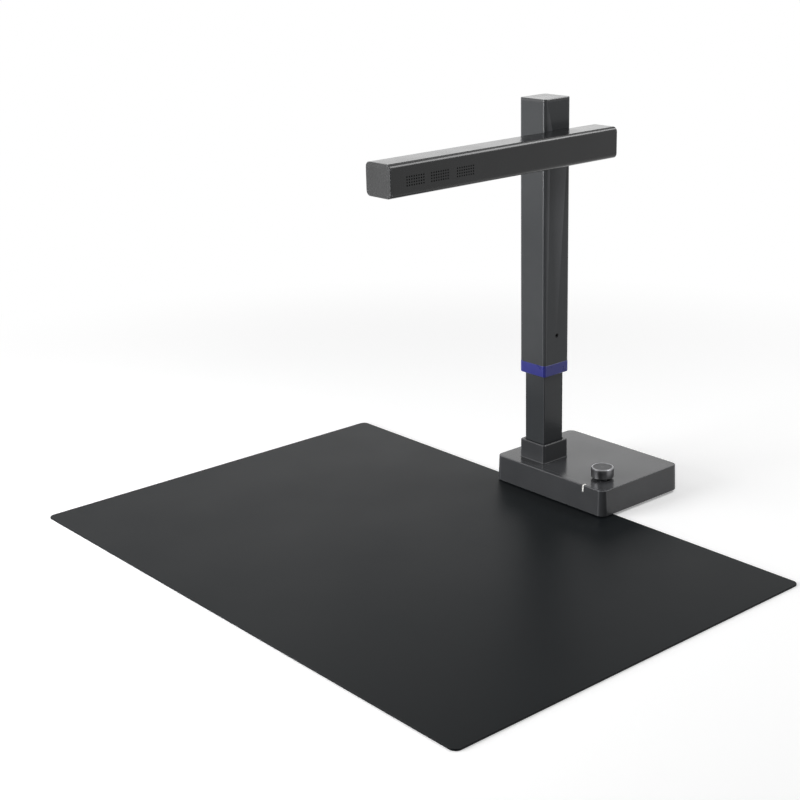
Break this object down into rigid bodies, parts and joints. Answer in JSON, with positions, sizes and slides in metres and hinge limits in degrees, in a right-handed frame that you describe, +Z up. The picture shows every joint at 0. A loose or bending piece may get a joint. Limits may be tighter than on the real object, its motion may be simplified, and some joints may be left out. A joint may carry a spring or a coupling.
{
  "type": "overhead book scanner",
  "caption": "Overhead book scanner: weighted base with a knob, telescoping square mast, side-mounted folding camera head and a document mat.",
  "frame": {"origin": "on the desk, on the underside of the front foot strip, straight under the axis of the mast", "axes": "+Z up; +X from the mast towards the knob, along the mat's long side; -Y out over the mat, the way the head points"},
  "size_m": [0.574, 0.4792, 0.376],
  "materials": {
    "shell_plastic": "fine moulded grain, satin black",
    "tube_aluminium": "drawn tube, satin black coat",
    "head_plastic": "fine moulded grain, satin black",
    "blue_plastic": "moulded, satin blue",
    "knob_aluminium": "turned, black anodised, bright bevel",
    "foot_rubber": "moulded rubber",
    "mat_rubber": "smooth dark mat sheet",
    "plate_steel": "powder coated sheet",
    "screw_steel": "zinc plated",
    "shaft_steel": "ground steel",
    "ballast_iron": "as cast",
    "cast_aluminium": "die cast",
    "bush_brass": "turned brass",
    "guide_acetal": "acetal, natural",
    "circuit_board": "green laminate",
    "socket_black": "moulded black",
    "socket_metal": "nickel plated shell",
    "clear_window": "clear, flush set",
    "lens_glass": "coated lens",
    "light_plastic": "frosted white"
  },
  "bodies": {
    "base": {"base_shell": "shell_plastic", "base_plate": "plate_steel", "foot_strips": "foot_rubber", "base_screws": "screw_steel", "inner_screws": "screw_steel", "ballast": "ballast_iron", "mast_foot": "cast_aluminium", "mast_collar": "shell_plastic", "lower_tube": "tube_aluminium", "guide_shoe": "guide_acetal", "main_board": "circuit_board", "board_spacers": "plate_steel", "power_socket": "socket_black", "data_socket": "socket_metal", "control_board": "circuit_board", "control_posts": "guide_acetal", "encoder_body": "socket_black", "light_guide": "light_plastic"},
    "mast": {"upper_tube": "tube_aluminium", "height_ring": "blue_plastic", "guide_bush": "guide_acetal", "friction_spring": "shaft_steel", "grub_screw": "screw_steel", "mast_cap": "shell_plastic", "pivot_block": "cast_aluminium", "pivot_screws": "screw_steel", "hinge_shaft": "shaft_steel", "friction_washers": "screw_steel", "hinge_nut": "screw_steel"},
    "head": {"head_housing": "head_plastic", "head_cover": "head_plastic", "head_front_cap": "head_plastic", "head_rear_cap": "head_plastic", "lens_window": "clear_window", "light_diffuser": "light_plastic", "light_board": "circuit_board", "lens_barrel": "socket_black", "lens_glass": "lens_glass", "lens_holder": "socket_black", "camera_board": "circuit_board", "heat_sink": "cast_aluminium", "hinge_plate": "plate_steel", "hinge_bush": "bush_brass", "hinge_screws": "screw_steel"},
    "plunger": {"switch_plunger": "guide_acetal"},
    "knob": {"knob": "knob_aluminium", "knob_disc": "knob_aluminium", "knob_shaft": "shaft_steel"},
    "mat": {"document_mat": "mat_rubber"}
  },
  "joints": [
    {"name": "mast_slide", "type": "slide", "parent": "base", "child": "mast", "axis": [0, 0, 1], "range_m": [-0.067, 0]},
    {"name": "head_fold", "type": "hinge", "parent": "mast", "child": "head", "pos_m": [0.03345, 0, 0.3341], "axis": [1, 0, 0], "range_deg": [0, 90]},
    {"name": "knob_press", "type": "slide", "parent": "base", "child": "plunger", "axis": [0, 0, 1], "range_m": [-0.0008, 0], "stiffness_N_per_m": 1500, "springref_m": 0.0005},
    {"name": "knob_turn", "type": "hinge", "parent": "plunger", "child": "knob", "pos_m": [0.0799, -0.003, 0.0343], "axis": [0, 0, 1], "continuous": true},
    {"name": "mat_slide", "type": "slide", "parent": "base", "child": "mat", "axis": [0, -1, 0], "range_m": [0, 0.05]}
  ]
}
